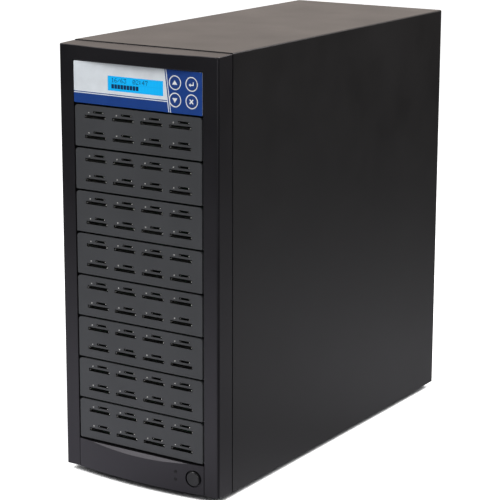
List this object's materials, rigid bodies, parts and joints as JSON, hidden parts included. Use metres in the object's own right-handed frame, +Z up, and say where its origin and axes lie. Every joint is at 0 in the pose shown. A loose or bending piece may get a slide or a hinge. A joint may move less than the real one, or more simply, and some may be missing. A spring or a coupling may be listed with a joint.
{
  "type": "memory card duplicator tower",
  "caption": "Free-standing black tower that copies memory cards: slotted card modules under a control module with a display and keys, in a folded steel case with a bowed bezel.",
  "frame": {"origin": "on the floor, under the middle of the whole tower's box", "axes": "+Z up, the front faces -Y, +X is to the right as seen from the front"},
  "size_m": [0.183, 0.4506, 0.43],
  "materials": {
    "case_paint": "fine-textured satin black paint",
    "bezel_plastic": "fine-grained black moulding",
    "panel_plastic": "fine-grained dark grey moulding",
    "overlay_film": "satin printed film, blue and white",
    "display_glass": "smooth backlit blue display",
    "key_plastic": "satin blue cap with a white ring",
    "button_plastic": "satin black cap",
    "indicator_lens": "milky lens",
    "chassis_steel": "zinc-plated sheet",
    "socket_steel": "bright stamped shell",
    "screw_steel": "zinc-plated",
    "foot_rubber": "matt black",
    "circuit_board": "green solder mask",
    "fitting_plastic": "satin black moulding",
    "cable_jacket": "soft grey insulation"
  },
  "bodies": {
    "chassis": {"hood_cover": "case_paint", "front_bezel": "bezel_plastic", "chin_cover": "bezel_plastic", "card_panel_1": "panel_plastic", "card_panel_2": "panel_plastic", "card_panel_3": "panel_plastic", "card_panel_4": "panel_plastic", "card_panel_5": "panel_plastic", "card_panel_6": "panel_plastic", "card_panel_7": "panel_plastic", "card_panel_8": "panel_plastic", "control_panel": "panel_plastic", "control_overlay": "overlay_film", "lcd_glass": "display_glass", "status_leds": "indicator_lens", "slot_leds": "indicator_lens", "base_pan": "chassis_steel", "rear_panel": "chassis_steel", "front_frame": "chassis_steel", "cage_plate_left": "chassis_steel", "cage_plate_right": "chassis_steel", "top_rails": "chassis_steel", "power_supply": "chassis_steel", "control_tray": "chassis_steel", "card_tray_1": "chassis_steel", "card_tray_2": "chassis_steel", "card_tray_3": "chassis_steel", "card_tray_4": "chassis_steel", "card_tray_5": "chassis_steel", "card_tray_6": "chassis_steel", "card_tray_7": "chassis_steel", "card_tray_8": "chassis_steel", "sd_sockets": "socket_steel", "microsd_sockets": "socket_steel", "hood_screws": "screw_steel", "bay_screws": "screw_steel", "fan_screws": "screw_steel", "psu_screws": "screw_steel", "foot_screws": "screw_steel", "feet": "foot_rubber", "card_boards": "circuit_board", "lcd_module": "circuit_board", "key_board": "circuit_board", "controller_board": "circuit_board", "mains_inlet": "fitting_plastic", "rocker_frame": "fitting_plastic", "power_switch": "fitting_plastic", "rear_fan_frame": "fitting_plastic", "data_ribbon": "cable_jacket", "power_harness": "cable_jacket"},
    "power_button": {"power_button": "button_plastic"},
    "key_up": {"key_up": "key_plastic"},
    "key_down": {"key_down": "key_plastic"},
    "key_enter": {"key_enter": "key_plastic"},
    "key_escape": {"key_escape": "key_plastic"},
    "rear_fan_rotor": {"rear_fan_rotor": "fitting_plastic"},
    "mains_rocker": {"mains_rocker": "fitting_plastic"}
  },
  "joints": [
    {"name": "power_button_press", "type": "slide", "parent": "chassis", "child": "power_button", "axis": [0, 1, 0], "range_m": [0, 0.0025], "stiffness_N_per_m": 800},
    {"name": "key_up_press", "type": "slide", "parent": "chassis", "child": "key_up", "axis": [0, 1, 0], "range_m": [0, 0.0005], "stiffness_N_per_m": 2000},
    {"name": "key_down_press", "type": "slide", "parent": "chassis", "child": "key_down", "axis": [0, 1, 0], "range_m": [0, 0.0005], "stiffness_N_per_m": 2000},
    {"name": "key_enter_press", "type": "slide", "parent": "chassis", "child": "key_enter", "axis": [0, 1, 0], "range_m": [0, 0.0005], "stiffness_N_per_m": 2000},
    {"name": "key_escape_press", "type": "slide", "parent": "chassis", "child": "key_escape", "axis": [0, 1, 0], "range_m": [0, 0.0005], "stiffness_N_per_m": 2000},
    {"name": "rear_fan_spin", "type": "hinge", "parent": "chassis", "child": "rear_fan_rotor", "pos_m": [0, 0.2, 0.306], "axis": [0, 1, 0], "continuous": true},
    {"name": "mains_rocker_tilt", "type": "hinge", "parent": "chassis", "child": "mains_rocker", "pos_m": [0.045, 0.2155, 0.07], "axis": [1, 0, 0], "range_deg": [0, 18]}
  ]
}
